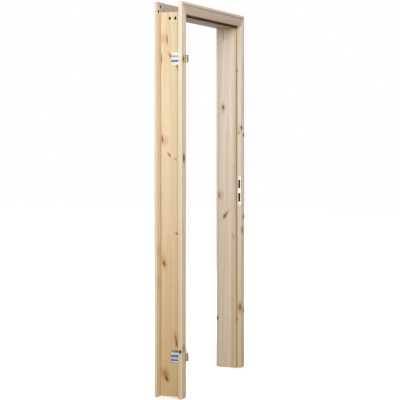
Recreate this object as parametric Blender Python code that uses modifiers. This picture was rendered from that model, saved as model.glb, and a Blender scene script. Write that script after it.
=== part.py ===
"""Adjustable pine door frame for a rebated door, standing upright.

X runs from the hinge jamb to the strike jamb, Y from the front (door side) to the rear, Z up.
The origin lies on the floor under the middle of the whole frame, hinge knuckles included.
Every board is one section swept along a side of the frame and mitred at its corners. A section
is drawn with r, the distance in from the frame's outer edge, and y, the distance back from the
front face.
"""
import math

import bmesh
import bpy
from mathutils import Matrix, Vector

MM = 0.001

# Whole frame
FRAME_WIDTH = 977 * MM
FRAME_HEIGHT = 2060 * MM
FRAME_DEPTH = 153 * MM
GAP = 0.3 * MM
BOARD_EDGE_RADIUS = 3 * MM
LINING_EDGE_RADIUS = 2 * MM
ARC_STEPS = 4

# Casings, front and rear
CASING_WIDTH = 63.5 * MM
FRONT_CASING_THICKNESS = 18 * MM
REAR_CASING_THICKNESS = 14 * MM
FACE_GROOVE_INSET = 16.4 * MM
FACE_GROOVE_WIDTH = 3 * MM
FACE_GROOVE_DEPTH = 2.2 * MM
SLIDING_TONGUE_THICKNESS = 7 * MM
SLIDING_TONGUE_LENGTH = 24 * MM

# Lining boards
LINING_OUTER_INSET = 51 * MM
STOP_HEIGHT = 12.5 * MM
REBATE_DEPTH = 25 * MM
SHADOW_GAP = 2.5 * MM
SLIDING_GROOVE_SPARE = 2 * MM
GLUE_TONGUE_INSET = 3.5 * MM
GLUE_TONGUE_THICKNESS = 5 * MM
GLUE_TONGUE_LENGTH = 5 * MM
GLUE_GROOVE_SPARE = 0.6 * MM
GLUE_SEAT_DEPTH = 0.5 * MM
GLUE_SHOULDER_RELIEF = 0.5 * MM

# Door seal
SEAL_STEM_THICKNESS = 2.4 * MM
SEAL_STEM_LENGTH = 5.5 * MM
SEAL_BULB_WIDTH = 9 * MM
SEAL_BULB_DEPTH = 4 * MM
SEAL_BULB_RADIUS = 1.8 * MM
SEAL_FLOOR_CLEARANCE = 2 * MM

# Corner screws of the lining, in pockets at 45 degrees
CORNER_SCREW_FROM_GROOVE = 25.5 * MM
CORNER_SCREW_SPACING = 31.5 * MM
POCKET_BELOW_LINING_TOP = 33 * MM
POCKET_RADIUS = 6 * MM
POCKET_DEPTH = 8.5 * MM
CORNER_SCREW_LENGTH = 32 * MM
CORNER_SCREW_RADIUS = 2 * MM
CORNER_SCREW_HEAD_RADIUS = 5 * MM
CORNER_SCREW_HEAD_HEIGHT = 3 * MM

# Mitre connectors: two drums in the casing's wall side and a bolt between them
DRUM_HOLE_RADIUS = 7.5 * MM
DRUM_CORNER_INSET = 35 * MM
DRUM_CENTRE_DISTANCE = 38.2 * MM
DRUM_HEIGHT = 7.4 * MM
DRUM_RECESS = 2.6 * MM
DRUM_KEY_RADIUS = 2.4 * MM
DRUM_KEY_DEPTH = 1.8 * MM
MITRE_BOLT_RADIUS = 2.2 * MM

# Lift-off hinges, the halves fixed to the frame
UPPER_HINGE_BELOW_TOP = 296 * MM
LOWER_HINGE_ABOVE_FLOOR = 212.5 * MM
KNUCKLE_RADIUS = 8 * MM
KNUCKLE_HEIGHT = 41 * MM
KNUCKLE_FACE_CLEARANCE = 1.5 * MM
KNUCKLE_CHAMFER = 1 * MM
LUG_THICKNESS = 4 * MM
LUG_HEIGHT = 36 * MM
LUG_REACH = 44 * MM
PIN_RADIUS = 3.75 * MM
PIN_STAND = 20 * MM
PIN_SOCKET_DEPTH = 30 * MM
PIN_TIP_CHAMFER = 1.5 * MM

# Hinge receivers on the lining's wall side
RECEIVER_HEIGHT = 63 * MM
RECEIVER_LENGTH = 55 * MM
BACKING_THICKNESS = 2 * MM
SHEET_THICKNESS = 1.8 * MM
FLANGE_HEIGHT = 10.5 * MM
RIDGE_RISE = 5 * MM
RIDGE_SLOPE = 1.2 * MM
RECEIVER_GROOVE_WIDTH = 5 * MM
MIDDLE_RIDGE_HEIGHT = 12 * MM
CLAMP_SCREW_RADIUS = 2.5 * MM
CLAMP_SCREW_SPACING = 20 * MM
CLAMP_SCREW_SINK = 1 * MM
CLAMP_SCREW_KEY_RADIUS = 1.4 * MM
CLAMP_SCREW_KEY_DEPTH = 2.5 * MM
FIXING_SCREW_RADIUS = 1.75 * MM
FIXING_SCREW_LENGTH = 16 * MM
FIXING_SCREW_HEAD_RADIUS = 3.6 * MM
FIXING_SCREW_HEAD_HEIGHT = 1.6 * MM
FIXING_SCREW_END_DISTANCE = 12 * MM

# Strike plate in the strike jamb's rebate
STRIKE_CENTRE_HEIGHT = 1036 * MM
STRIKE_HEIGHT = 170 * MM
STRIKE_WIDTH = 20 * MM
STRIKE_THICKNESS = 2.5 * MM
STRIKE_SETBACK = 0.6 * MM
STRIKE_CORNER_RADIUS = 1.5 * MM
SLOT_FRONT_MARGIN = 2.8 * MM
SLOT_WIDTH = 11.4 * MM
LATCH_SLOT_RISE = 38.5 * MM
LATCH_SLOT_HEIGHT = 48 * MM
BOLT_SLOT_DROP = 39.5 * MM
BOLT_SLOT_HEIGHT = 50 * MM
MORTISE_MARGIN = 0.5 * MM
MORTISE_DEPTH = 18 * MM
STRIKE_SCREW_END_DISTANCE = 9 * MM
STRIKE_SCREW_RADIUS = 2 * MM
STRIKE_SCREW_HEAD_RADIUS = 4 * MM
STRIKE_SCREW_HEAD_HEIGHT = 2 * MM
STRIKE_SCREW_LENGTH = 25 * MM

# Places that follow from the sizes above
KNUCKLE_FORWARD = KNUCKLE_RADIUS + KNUCKLE_FACE_CLEARANCE
FRONT_Y = (KNUCKLE_FORWARD + KNUCKLE_RADIUS - FRAME_DEPTH) / 2
REAR_FACE = FRAME_DEPTH - REAR_CASING_THICKNESS
LINING_FRONT = FRONT_CASING_THICKNESS + GAP
LINING_REAR = REAR_FACE - SHADOW_GAP
LINING_INNER_INSET = CASING_WIDTH + STOP_HEIGHT
SEAL_CENTRE = CASING_WIDTH + STOP_HEIGHT / 2
SLIDING_TONGUE_OUTER = CASING_WIDTH - SLIDING_TONGUE_THICKNESS
SLIDING_GROOVE_FLOOR = REAR_FACE - SLIDING_TONGUE_LENGTH - SLIDING_GROOVE_SPARE
BACKING_FACE = LINING_OUTER_INSET - GAP - BACKING_THICKNESS
LUG_INNER = BACKING_FACE - GAP
LUG_OUTER = LUG_INNER - LUG_THICKNESS
KNUCKLE_INSET = LUG_OUTER + KNUCKLE_RADIUS - 0.5 * LUG_THICKNESS
CLAMP_SCREW_DEPTH = (FRONT_CASING_THICKNESS + REBATE_DEPTH) / 2

PINE = ("pine", (0.78, 0.60, 0.38), 0.6, 0.0)
RUBBER = ("seal_rubber", (0.09, 0.05, 0.03), 0.7, 0.0)
GALVANISED = ("galvanised_steel", (0.62, 0.63, 0.66), 0.4, 1.0)
ZINC_SCREW = ("zinc_screw", (0.55, 0.55, 0.52), 0.35, 1.0)
DARK_ZINC = ("dark_zinc", (0.10, 0.09, 0.08), 0.5, 1.0)
STRIKE_STEEL = ("strike_steel", (0.82, 0.80, 0.76), 0.35, 1.0)


def clear_scene():
    """Empty the scene, so that the file can be run again."""
    for obj in list(bpy.data.objects):
        bpy.data.objects.remove(obj, do_unlink=True)
    for collection in list(bpy.data.collections):
        bpy.data.collections.remove(collection)


def make_collection(name):
    collection = bpy.data.collections.new(name)
    bpy.context.scene.collection.children.link(collection)
    return collection


clear_scene()
PARTS = make_collection("door_frame")
CUTTERS = make_collection("cutters")


def finish_of(name, spec):
    """A material of the piece's own, with the colour and gloss of what it is made of."""
    kind, color, roughness, metallic = spec
    material = bpy.data.materials.new(name + "_" + kind)
    material.use_nodes = True
    shader = material.node_tree.nodes["Principled BSDF"]
    shader.inputs["Base Color"].default_value = (*color, 1.0)
    shader.inputs["Roughness"].default_value = roughness
    shader.inputs["Metallic"].default_value = metallic
    return material


def add_piece(name, mesh, spec, matrix=None):
    piece = bpy.data.objects.new(name, mesh)
    piece.matrix_world = matrix or Matrix()
    piece.data.materials.clear()
    piece.data.materials.append(finish_of(name, spec))
    PARTS.objects.link(piece)
    return piece


def add_cutter(name, mesh, matrix=None):
    cutter = bpy.data.objects.new(name, mesh)
    cutter.matrix_world = matrix or Matrix()
    cutter.hide_render = True
    cutter.display_type = "WIRE"
    CUTTERS.objects.link(cutter)
    return cutter


def boolean(piece, other, operation="DIFFERENCE"):
    modifier = piece.modifiers.new(other.name, "BOOLEAN")
    modifier.operation = operation
    modifier.object = other
    modifier.solver = "EXACT"


def cut(piece, cutter):
    """Adds a cutter to the piece's own set, which one Boolean takes out of it together."""
    set_name = piece.name + "_cuts"
    cuts = bpy.data.collections.get(set_name)
    if cuts is None:
        cuts = bpy.data.collections.new(set_name)
        CUTTERS.children.link(cuts)
        modifier = piece.modifiers.new("cuts", "BOOLEAN")
        modifier.operation = "DIFFERENCE"
        modifier.operand_type = "COLLECTION"
        modifier.collection = cuts
        modifier.solver = "EXACT"
    cuts.objects.link(cutter)


# Meshes

def arc_corner(before, corner, after, radius):
    """Points of an outline's rounded corner, or the sharp corner where radius is 0."""
    point = Vector(corner)
    if radius == 0:
        return [point]
    incoming = (Vector(before) - point).normalized()
    outgoing = (Vector(after) - point).normalized()
    half_angle = incoming.angle(outgoing) / 2
    reach = radius / math.tan(half_angle)
    centre = point + (incoming + outgoing).normalized() * (radius / math.sin(half_angle))
    start = point + incoming * reach - centre
    sweep = start.angle_signed(point + outgoing * reach - centre)
    points = []
    for step in range(ARC_STEPS + 1):
        turn = -sweep * step / ARC_STEPS
        turned = Vector((start.x * math.cos(turn) - start.y * math.sin(turn),
                         start.x * math.sin(turn) + start.y * math.cos(turn)))
        points.append(centre + turned)
    return points


def rounded(corners):
    """An outline of (x, y, radius) corners as points, with each round corner as an arc."""
    points = []
    for index, (x, y, radius) in enumerate(corners):
        before = corners[index - 1][:2]
        after = corners[(index + 1) % len(corners)][:2]
        points += arc_corner(before, (x, y), after, radius)
    return points


def extruded_mesh(name, outlines, length):
    """A flat outline, with its inner outlines as holes, extruded evenly about its own plane."""
    curve = bpy.data.curves.new(name, "CURVE")
    curve.dimensions = "2D"
    curve.fill_mode = "BOTH"
    curve.extrude = length / 2
    for outline in outlines:
        spline = curve.splines.new("POLY")
        spline.points.add(len(outline) - 1)
        for target, point in zip(spline.points, outline):
            target.co = (point[0], point[1], 0, 1)
        spline.use_cyclic_u = True
    holder = bpy.data.objects.new(name, curve)
    bpy.context.scene.collection.objects.link(holder)
    depsgraph = bpy.context.evaluated_depsgraph_get()
    mesh = bpy.data.meshes.new_from_object(holder.evaluated_get(depsgraph))
    bpy.data.objects.remove(holder, do_unlink=True)
    bpy.data.curves.remove(curve)
    shape = bmesh.new()
    shape.from_mesh(mesh)
    bmesh.ops.remove_doubles(shape, verts=shape.verts, dist=0.01 * MM)
    bmesh.ops.dissolve_limit(shape, angle_limit=math.radians(1), verts=shape.verts,
                             edges=shape.edges)
    bmesh.ops.recalc_face_normals(shape, faces=shape.faces)
    shape.to_mesh(mesh)
    shape.free()
    mesh.name = name
    return mesh


def box_mesh(name, low, high):
    low = Vector(low)
    high = Vector(high)
    shape = bmesh.new()
    bmesh.ops.create_cube(shape, size=1)
    bmesh.ops.scale(shape, vec=high - low, verts=shape.verts)
    bmesh.ops.translate(shape, vec=(low + high) / 2, verts=shape.verts)
    mesh = bpy.data.meshes.new(name)
    shape.to_mesh(mesh)
    shape.free()
    return mesh


def rod_matrix(start, end):
    """Places a rod made along its own Z, from 0 to its length, between two points."""
    direction = Vector(end) - Vector(start)
    turn = direction.to_track_quat("Z", "Y").to_matrix().to_4x4()
    return Matrix.Translation(Vector(start)) @ turn


def rod_mesh(name, radius, length, sides=24, tip_radius=None, start=0.0):
    """A straight or tapered rod along Z."""
    shape = bmesh.new()
    end_radius = radius if tip_radius is None else tip_radius
    middle = Matrix.Translation((0, 0, start + length / 2))
    bmesh.ops.create_cone(shape, cap_ends=True, segments=sides, radius1=radius,
                          radius2=end_radius, depth=length, matrix=middle)
    mesh = bpy.data.meshes.new(name)
    shape.to_mesh(mesh)
    shape.free()
    return mesh


def turned_mesh(name, profile, sides=24):
    """A profile of (radius, height) points, top to bottom, turned about Z by a Screw modifier."""
    mesh = bpy.data.meshes.new(name + "_profile")
    points = [(radius, 0, height) for radius, height in profile]
    edges = [(index, index + 1) for index in range(len(points) - 1)]
    mesh.from_pydata(points, edges, [])
    holder = bpy.data.objects.new(name, mesh)
    bpy.context.scene.collection.objects.link(holder)
    screw = holder.modifiers.new("turn", "SCREW")
    screw.steps = sides
    screw.render_steps = sides
    screw.use_merge_vertices = True
    screw.merge_threshold = 0.01 * MM
    depsgraph = bpy.context.evaluated_depsgraph_get()
    turned = bpy.data.meshes.new_from_object(holder.evaluated_get(depsgraph))
    bpy.data.objects.remove(holder, do_unlink=True)
    shape = bmesh.new()
    shape.from_mesh(turned)
    bmesh.ops.remove_doubles(shape, verts=shape.verts, dist=0.01 * MM)
    bmesh.ops.recalc_face_normals(shape, faces=shape.faces)
    shape.to_mesh(turned)
    shape.free()
    turned.name = name
    turned.shade_smooth()
    turned.set_sharp_from_angle(angle=math.radians(35))
    return turned


# The three sides of the frame

def side_matrix(side):
    """Turns a section's r, y and run into the frame: r inwards, y back, run along the side."""
    if side == "hinge_side":
        inwards, along = Vector((1, 0, 0)), Vector((0, 0, 1))
        origin = Vector((-FRAME_WIDTH / 2, FRONT_Y, FRAME_HEIGHT / 2))
    elif side == "strike_side":
        inwards, along = Vector((-1, 0, 0)), Vector((0, 0, -1))
        origin = Vector((FRAME_WIDTH / 2, FRONT_Y, FRAME_HEIGHT / 2))
    else:
        inwards, along = Vector((0, 0, -1)), Vector((1, 0, 0))
        origin = Vector((0, FRONT_Y, FRAME_HEIGHT))
    turn = Matrix((inwards, (0, 1, 0), along)).transposed().to_4x4()
    return Matrix.Translation(origin) @ turn


def corner_point(hand):
    """The frame's outer top corner: hand is -1 on the hinge side and 1 on the strike side."""
    return Vector((hand * FRAME_WIDTH / 2, FRONT_Y, FRAME_HEIGHT))


def at_corner(hand, inset, drop, y):
    """A point near a top corner, inset from the frame's side and drop below its top."""
    return corner_point(hand) + Vector((-hand * inset, y, -drop))


def in_side(side, r, y, height):
    """A point of a jamb, from its r, its y and its height over the floor."""
    hand = -1 if side == "hinge_side" else 1
    return Vector((hand * (FRAME_WIDTH / 2 - r), FRONT_Y + y, height))


SIDES = ("hinge_side", "strike_side", "head")
MITRES = {"hinge_side": (-1,), "strike_side": (1,), "head": (-1, 1)}


def mitred_board(name, side, corners, spec, floor_clearance=0.0):
    """One board: its section swept along a side, cut on the mitre at its top corners."""
    length = FRAME_WIDTH if side == "head" else FRAME_HEIGHT
    mesh = extruded_mesh(name, [rounded(corners)], length)
    matrix = side_matrix(side)
    shape = bmesh.new()
    shape.from_mesh(mesh)
    shape.transform(matrix)
    planes = []
    for hand in MITRES[side]:
        normal = Vector((-hand, 0, 1)).normalized()
        if side == "head":
            normal = -normal
        planes.append((corner_point(hand) - normal * GAP / 2, normal))
    if floor_clearance and side != "head":
        planes.append((Vector((0, 0, floor_clearance)), Vector((0, 0, -1))))
    for place, normal in planes:
        everything = shape.verts[:] + shape.edges[:] + shape.faces[:]
        cut = bmesh.ops.bisect_plane(shape, geom=everything, plane_co=place, plane_no=normal,
                                     clear_outer=True)
        edges = [item for item in cut["geom_cut"] if isinstance(item, bmesh.types.BMEdge)]
        bmesh.ops.contextual_create(shape, geom=edges)
    bmesh.ops.recalc_face_normals(shape, faces=shape.faces)
    shape.transform(matrix.inverted())
    shape.to_mesh(mesh)
    shape.free()
    return add_piece(name, mesh, spec, matrix)


# Sections of the boards

def front_casing_section():
    """Flat casing: rounded front edges, a fine face groove, and a glue tongue behind."""
    groove_low = FACE_GROOVE_INSET - FACE_GROOVE_WIDTH / 2
    groove_high = FACE_GROOVE_INSET + FACE_GROOVE_WIDTH / 2
    tongue_low = LINING_OUTER_INSET + GLUE_TONGUE_INSET
    tongue_high = tongue_low + GLUE_TONGUE_THICKNESS
    tongue_tip = FRONT_CASING_THICKNESS + GLUE_TONGUE_LENGTH
    seat_edge = LINING_OUTER_INSET - GAP
    seat_face = FRONT_CASING_THICKNESS - GLUE_SEAT_DEPTH
    return [
        (0, 0, BOARD_EDGE_RADIUS),
        (groove_low, 0, 0),
        (FACE_GROOVE_INSET, FACE_GROOVE_DEPTH, 0),
        (groove_high, 0, 0),
        (CASING_WIDTH, 0, BOARD_EDGE_RADIUS),
        (CASING_WIDTH, FRONT_CASING_THICKNESS, 0),
        (tongue_high, FRONT_CASING_THICKNESS, 0),
        (tongue_high, tongue_tip, 0),
        (tongue_low, tongue_tip, 0),
        (tongue_low, seat_face, 0),
        (seat_edge, seat_face, 0),
        (seat_edge, FRONT_CASING_THICKNESS, 0),
        (0, FRONT_CASING_THICKNESS, 0),
    ]


def rear_casing_section():
    """Casing with the long tongue that slides in the lining's rear groove."""
    tongue_tip = REAR_FACE - SLIDING_TONGUE_LENGTH
    return [
        (0, REAR_FACE, 0),
        (SLIDING_TONGUE_OUTER, REAR_FACE, 0),
        (SLIDING_TONGUE_OUTER, tongue_tip, 0),
        (CASING_WIDTH, tongue_tip, 0),
        (CASING_WIDTH, FRAME_DEPTH, BOARD_EDGE_RADIUS),
        (0, FRAME_DEPTH, BOARD_EDGE_RADIUS),
    ]


def lining_section():
    """Lining: glue groove, rebate, stop with its seal groove, and the sliding groove behind."""
    glue_low = LINING_OUTER_INSET + GLUE_TONGUE_INSET - GAP
    glue_high = glue_low + GLUE_TONGUE_THICKNESS + 2 * GAP
    glue_floor = FRONT_CASING_THICKNESS + GLUE_TONGUE_LENGTH + GLUE_GROOVE_SPARE
    seal_low = SEAL_CENTRE - SEAL_STEM_THICKNESS / 2 - GAP
    seal_high = SEAL_CENTRE + SEAL_STEM_THICKNESS / 2 + GAP
    seal_floor = REBATE_DEPTH + SEAL_STEM_LENGTH + GAP
    groove_low = SLIDING_TONGUE_OUTER - GAP
    groove_high = CASING_WIDTH + GAP
    return [
        (LINING_OUTER_INSET, LINING_FRONT + GLUE_SHOULDER_RELIEF, 0),
        (glue_low, LINING_FRONT + GLUE_SHOULDER_RELIEF, 0),
        (glue_low, glue_floor, 0),
        (glue_high, glue_floor, 0),
        (glue_high, LINING_FRONT, 0),
        (CASING_WIDTH, LINING_FRONT, 0),
        (CASING_WIDTH, REBATE_DEPTH, 0),
        (seal_low, REBATE_DEPTH, 0),
        (seal_low, seal_floor, 0),
        (seal_high, seal_floor, 0),
        (seal_high, REBATE_DEPTH, 0),
        (LINING_INNER_INSET, REBATE_DEPTH, LINING_EDGE_RADIUS),
        (LINING_INNER_INSET, LINING_REAR, LINING_EDGE_RADIUS),
        (groove_high, LINING_REAR, 0),
        (groove_high, SLIDING_GROOVE_FLOOR, 0),
        (groove_low, SLIDING_GROOVE_FLOOR, 0),
        (groove_low, LINING_REAR, 0),
        (LINING_OUTER_INSET, LINING_REAR, 0),
    ]


def seal_section():
    """Door seal: a stem in the stop's groove and a soft bulb in front of the stop."""
    stem_low = SEAL_CENTRE - SEAL_STEM_THICKNESS / 2
    stem_high = SEAL_CENTRE + SEAL_STEM_THICKNESS / 2
    bulb_low = SEAL_CENTRE - SEAL_BULB_WIDTH / 2
    bulb_high = SEAL_CENTRE + SEAL_BULB_WIDTH / 2
    bulb_back = REBATE_DEPTH - GAP
    bulb_front = bulb_back - SEAL_BULB_DEPTH
    return [
        (bulb_low, bulb_front, SEAL_BULB_RADIUS),
        (bulb_high, bulb_front, SEAL_BULB_RADIUS),
        (bulb_high, bulb_back, 0),
        (stem_high, bulb_back, 0),
        (stem_high, REBATE_DEPTH + SEAL_STEM_LENGTH, 0),
        (stem_low, REBATE_DEPTH + SEAL_STEM_LENGTH, 0),
        (stem_low, bulb_back, 0),
        (bulb_low, bulb_back, 0),
    ]


LINING = {}
FRONT_CASING = {}
REAR_CASING = {}
for side_name in SIDES:
    LINING[side_name] = mitred_board("lining_" + side_name, side_name, lining_section(), PINE)
    FRONT_CASING[side_name] = mitred_board("front_casing_" + side_name, side_name,
                                           front_casing_section(), PINE)
    REAR_CASING[side_name] = mitred_board("rear_casing_" + side_name, side_name,
                                          rear_casing_section(), PINE)
    mitred_board("seal_" + side_name, side_name, seal_section(), RUBBER, SEAL_FLOOR_CLEARANCE)


# Corner screws of the lining

def headed_screw_mesh(name, radius, length, head_radius, head_height):
    """A screw along Z: its pan head below 0, its shank above, and a pointed tip."""
    tip = 2 * radius
    key = head_height / 2
    profile = [
        (0, length),
        (radius, length - tip),
        (radius, 0),
        (head_radius, 0),
        (head_radius, -key),
        (head_radius * 0.7, -head_height),
        (0, -head_height),
    ]
    return turned_mesh(name, profile, 16)


def screw_bore(name, start, direction, radius, length):
    """A bore for a screw's shank, a little wider and longer than the shank."""
    overlap = 3 * MM
    mesh = rod_mesh(name, radius + GAP, length + overlap + GAP, 16, start=-overlap)
    return add_cutter(name, mesh, rod_matrix(start, Vector(start) + direction))


def corner_screw(hand, side, number):
    """One screw from a pocket in the jamb lining, square to the mitre, into the head lining."""
    name = "corner_screw_" + side + "_" + str(number)
    y = SLIDING_GROOVE_FLOOR - CORNER_SCREW_FROM_GROOVE - (2 - number) * CORNER_SCREW_SPACING
    mouth = at_corner(hand, LINING_OUTER_INSET, LINING_OUTER_INSET + POCKET_BELOW_LINING_TOP, y)
    direction = Vector((-hand, 0, 1)).normalized()
    seat = mouth + direction * POCKET_DEPTH
    outside = mouth - direction * 2 * POCKET_RADIUS
    pocket_length = (seat - outside).length
    pocket = add_cutter(name + "_pocket", rod_mesh(name + "_pocket", POCKET_RADIUS, pocket_length),
                        rod_matrix(outside, seat))
    underhead = seat - direction * GAP
    bore = screw_bore(name + "_bore", underhead, direction, CORNER_SCREW_RADIUS,
                      CORNER_SCREW_LENGTH)
    cut(LINING[side], pocket)
    cut(LINING[side], bore)
    cut(LINING["head"], bore)
    mesh = headed_screw_mesh(name, CORNER_SCREW_RADIUS, CORNER_SCREW_LENGTH,
                             CORNER_SCREW_HEAD_RADIUS, CORNER_SCREW_HEAD_HEIGHT)
    add_piece(name, mesh, ZINC_SCREW, rod_matrix(underhead, underhead + direction))


# Mitre connectors of the casings

def drum_mesh(name, towards_bolt):
    """A drum along Y with a six-sided key recess in its open face and a bore for the bolt.

    The mesh is made round the drum's centre. Its open face looks to -Z before it is placed.
    """
    shape_name = name + "_body"
    body = rod_mesh(shape_name, DRUM_HOLE_RADIUS - GAP, DRUM_HEIGHT, start=-DRUM_HEIGHT / 2)
    holder = bpy.data.objects.new(shape_name, body)
    bpy.context.scene.collection.objects.link(holder)
    key_cut = add_cutter(name + "_key", rod_mesh(name + "_key", DRUM_KEY_RADIUS,
                                                 2 * DRUM_KEY_DEPTH, 6,
                                                 start=-DRUM_HEIGHT / 2 - DRUM_KEY_DEPTH))
    bore_length = DRUM_HOLE_RADIUS + 2 * GAP
    bore_mesh = rod_mesh(name + "_bore", MITRE_BOLT_RADIUS + GAP, bore_length, 16, start=-GAP)
    bore_cut = add_cutter(name + "_bore", bore_mesh, rod_matrix((0, 0, 0), towards_bolt))
    boolean(holder, key_cut)
    boolean(holder, bore_cut)
    bpy.context.view_layer.update()
    depsgraph = bpy.context.evaluated_depsgraph_get()
    mesh = bpy.data.meshes.new_from_object(holder.evaluated_get(depsgraph))
    for helper in (holder, key_cut, bore_cut):
        bpy.data.objects.remove(helper, do_unlink=True)
    mesh.name = name
    return mesh


def mitre_connector(casings, layer, hand, side, face_y, into_wood):
    """Two drums and a bolt across one mitre. into_wood is 1 where the holes run towards +Y."""
    label = layer + "_" + side
    half = DRUM_CENTRE_DISTANCE / 2 / math.sqrt(2)
    hole_depth = DRUM_RECESS + DRUM_HEIGHT + GAP
    drum_y = face_y + into_wood * (DRUM_RECESS + DRUM_HEIGHT / 2)
    in_head = at_corner(hand, DRUM_CORNER_INSET + half, DRUM_CORNER_INSET - half, drum_y)
    in_jamb = at_corner(hand, DRUM_CORNER_INSET - half, DRUM_CORNER_INSET + half, drum_y)
    depth = Vector((0, into_wood, 0))
    face_offset = depth * (DRUM_RECESS + DRUM_HEIGHT / 2)
    for board, centre, other in (("head", in_head, in_jamb), (side, in_jamb, in_head)):
        place = "head" if board == "head" else "jamb"
        name = "mitre_drum_" + label + "_" + place
        mouth = centre - face_offset
        hole_start = mouth - depth * hole_depth
        hole = add_cutter(name + "_hole", rod_mesh(name + "_hole", DRUM_HOLE_RADIUS,
                                                   2 * hole_depth),
                          rod_matrix(hole_start, mouth))
        cut(casings[board], hole)
        turn = rod_matrix(centre, centre + depth)
        towards_bolt = turn.to_3x3().inverted() @ (other - centre)
        add_piece(name, drum_mesh(name, towards_bolt), DARK_ZINC, turn)
    bolt_matrix = rod_matrix(in_jamb, in_head)
    bolt_length = (in_head - in_jamb).length
    bore = add_cutter("mitre_bore_" + label,
                      rod_mesh("mitre_bore_" + label, MITRE_BOLT_RADIUS + GAP, bolt_length, 16),
                      bolt_matrix)
    cut(casings[side], bore)
    cut(casings["head"], bore)
    bolt = rod_mesh("mitre_bolt_" + label, MITRE_BOLT_RADIUS, bolt_length, 16)
    add_piece("mitre_bolt_" + label, bolt, ZINC_SCREW, bolt_matrix)


for hand_sign, side_name in ((-1, "hinge_side"), (1, "strike_side")):
    corner_screw(hand_sign, side_name, 1)
    corner_screw(hand_sign, side_name, 2)
    mitre_connector(FRONT_CASING, "front", hand_sign, side_name, FRONT_CASING_THICKNESS, -1)
    mitre_connector(REAR_CASING, "rear", hand_sign, side_name, REAR_FACE, 1)


# Hinges

def receiver_outline():
    """The folded sheet's section in r and height: flanges, and three ridges with two grooves."""
    half = RECEIVER_HEIGHT / 2
    flange = BACKING_FACE - GAP
    groove = LUG_OUTER - GAP
    ridge = groove - RIDGE_RISE
    shoulder = half - FLANGE_HEIGHT
    middle = MIDDLE_RIDGE_HEIGHT / 2
    upper = middle + RECEIVER_GROOVE_WIDTH
    half_line = [
        (flange, half),
        (flange, shoulder),
        (ridge, shoulder - RIDGE_SLOPE),
        (ridge, upper + RIDGE_SLOPE),
        (groove, upper),
        (groove, middle),
        (ridge, middle - RIDGE_SLOPE),
    ]
    lower_line = [(r, -height) for r, height in reversed(half_line)]
    return half_line + lower_line


def receiver_mesh(name):
    """The receiver's sheet, swept along its length, with its thickness on the wall side."""
    shape = bmesh.new()
    front = [shape.verts.new((r, LINING_FRONT + GAP, height)) for r, height in receiver_outline()]
    edges = [shape.edges.new(pair) for pair in zip(front, front[1:])]
    swept = bmesh.ops.extrude_edge_only(shape, edges=edges)
    moved = [item for item in swept["geom"] if isinstance(item, bmesh.types.BMVert)]
    bmesh.ops.translate(shape, vec=(0, RECEIVER_LENGTH, 0), verts=moved)
    bmesh.ops.recalc_face_normals(shape, faces=shape.faces)
    if sum(face.normal.x for face in shape.faces) > 0:
        bmesh.ops.reverse_faces(shape, faces=shape.faces)
    mesh = bpy.data.meshes.new(name)
    shape.to_mesh(mesh)
    shape.free()
    return mesh


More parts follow.
